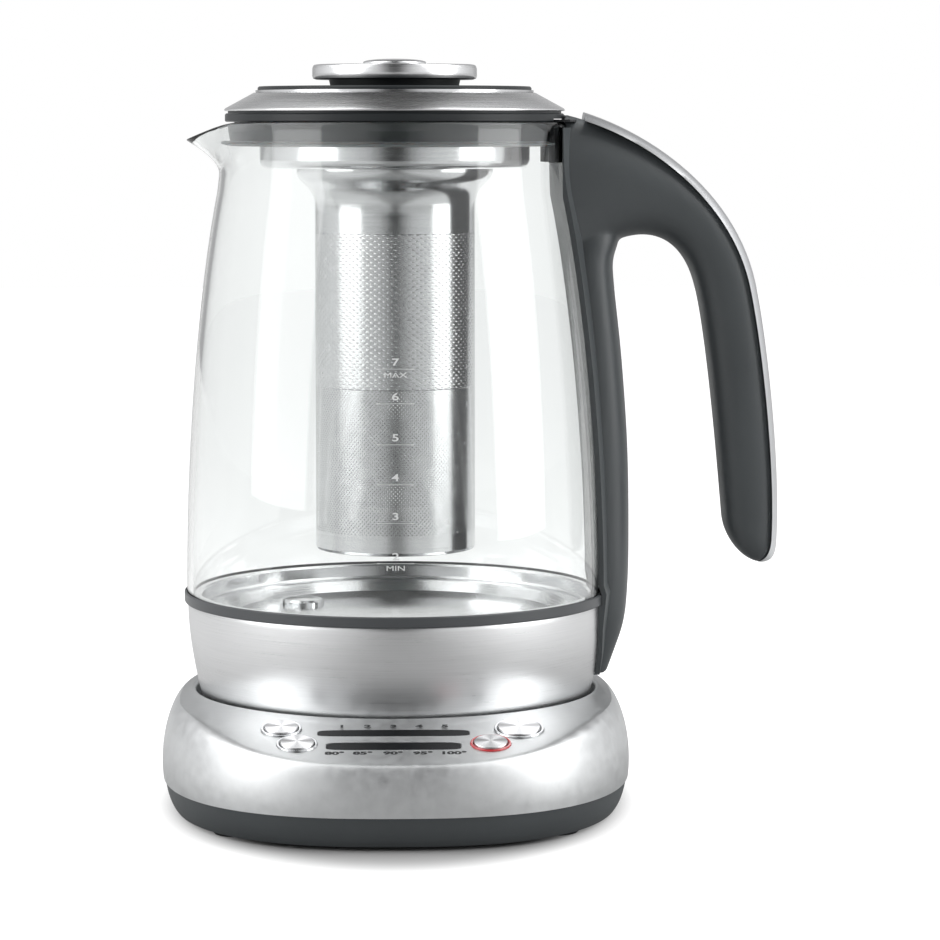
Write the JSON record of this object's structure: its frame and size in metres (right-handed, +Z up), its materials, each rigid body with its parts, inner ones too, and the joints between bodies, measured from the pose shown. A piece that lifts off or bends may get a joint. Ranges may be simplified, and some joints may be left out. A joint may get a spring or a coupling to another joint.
{
  "type": "automatic tea maker",
  "caption": "Glass kettle jug with infuser basket and lids on a powered base with a sloped push-button panel",
  "frame": {"origin": "on the table, under the middle of the bounding box; the jug's centre line is 28.95 mm towards -X and 16 mm towards +Y of it", "axes": "+Z up, +X from the jug to its handle, -X to the spout, -Y to the control panel"},
  "size_m": [0.2326, 0.208, 0.2776],
  "materials": {
    "silver_shell": "fine satin silver",
    "charcoal_shell": "fine matt",
    "foot_rubber": "matt",
    "black_plastic": "matt",
    "screw_steel": "plain",
    "contact_brass": "bright",
    "board_green": "lacquered",
    "light_white": "diffuse",
    "display_dark": "gloss",
    "ring_steel": "polished",
    "ring_red": "gloss",
    "button_steel": "spun",
    "clear_glass": "clear",
    "gasket_rubber": "satin",
    "brushed_skirt": "brushed round",
    "floor_steel": "polished",
    "heater_aluminium": "cast",
    "element_steel": "plain",
    "underside_plastic": "matt",
    "socket_plastic": "matt",
    "handle_plastic": "fine matt",
    "trim_steel": "brushed along",
    "clamp_plastic": "matt",
    "lid_steel": "brushed round",
    "lid_plastic": "satin",
    "plug_plastic": "satin",
    "seal_silicone": "satin",
    "basket_steel": "satin",
    "mesh_steel": "perforated",
    "cap_plastic": "satin",
    "knob_steel": "spun"
  },
  "bodies": {
    "base": {"base_top_cover": "silver_shell", "base_lower_tray": "charcoal_shell", "foot_pads": "foot_rubber", "lead_gland": "black_plastic", "base_screws": "screw_steel", "base_connector": "black_plastic", "contact_rings": "contact_brass", "control_board": "board_green", "tact_switches": "black_plastic", "indicator_lights": "light_white", "upper_window": "display_dark", "lower_window": "display_dark", "brew_time_ring": "ring_steel", "temperature_ring": "ring_steel", "start_timer_ring": "ring_steel", "start_stop_ring": "ring_red"},
    "brew_time_key": {"brew_time_button": "button_steel"},
    "temperature_key": {"temperature_button": "button_steel"},
    "start_timer_key": {"start_timer_button": "button_steel"},
    "start_stop_key": {"start_stop_button": "button_steel"},
    "jug": {"glass_jug": "clear_glass", "jug_gasket": "gasket_rubber", "boiler_skirt": "brushed_skirt", "boiler_floor": "floor_steel", "sensor_cap": "floor_steel", "heat_plate": "heater_aluminium", "heating_element": "element_steel", "jug_underside": "underside_plastic", "jug_socket": "socket_plastic", "socket_contacts": "contact_brass", "handle_shell": "handle_plastic", "handle_trim": "trim_steel", "rim_clamp": "clamp_plastic", "spine_bracket": "element_steel", "spine_screw": "screw_steel"},
    "jug_lid": {"lid_cone_ring": "lid_steel", "lid_flange_ring": "lid_plastic", "lid_plug": "plug_plastic", "lid_seal": "seal_silicone"},
    "basket": {"basket_pan": "basket_steel", "basket_collar": "basket_steel", "basket_sleeve": "mesh_steel", "basket_cup": "basket_steel"},
    "basket_lid": {"basket_lid_disc": "cap_plastic", "basket_lid_seal": "seal_silicone", "knob_neck": "cap_plastic", "knob_cap": "knob_steel", "knob_centre": "knob_steel", "knob_screw": "screw_steel"}
  },
  "joints": [
    {"name": "brew_time_press", "type": "slide", "parent": "base", "child": "brew_time_key", "axis": [0, 0.225, -0.9744], "range_m": [0, 0.0008], "stiffness_N_per_m": 700},
    {"name": "temperature_press", "type": "slide", "parent": "base", "child": "temperature_key", "axis": [0, 0.225, -0.9744], "range_m": [0, 0.0008], "stiffness_N_per_m": 700},
    {"name": "start_timer_press", "type": "slide", "parent": "base", "child": "start_timer_key", "axis": [0, 0.225, -0.9744], "range_m": [0, 0.0008], "stiffness_N_per_m": 700},
    {"name": "start_stop_press", "type": "slide", "parent": "base", "child": "start_stop_key", "axis": [0, 0.225, -0.9744], "range_m": [0, 0.0008], "stiffness_N_per_m": 700},
    {"name": "jug_lift", "type": "slide", "parent": "base", "child": "jug", "axis": [0, 0, 1], "range_m": [0, 0.1]},
    {"name": "lid_lift", "type": "slide", "parent": "jug", "child": "jug_lid", "axis": [0, 0, 1], "range_m": [0, 0.19]},
    {"name": "basket_lift", "type": "slide", "parent": "jug_lid", "child": "basket", "axis": [0, 0, 1], "range_m": [0, 0.2]},
    {"name": "basket_lid_lift", "type": "slide", "parent": "basket", "child": "basket_lid", "axis": [0, 0, 1], "range_m": [0, 0.04]}
  ]
}
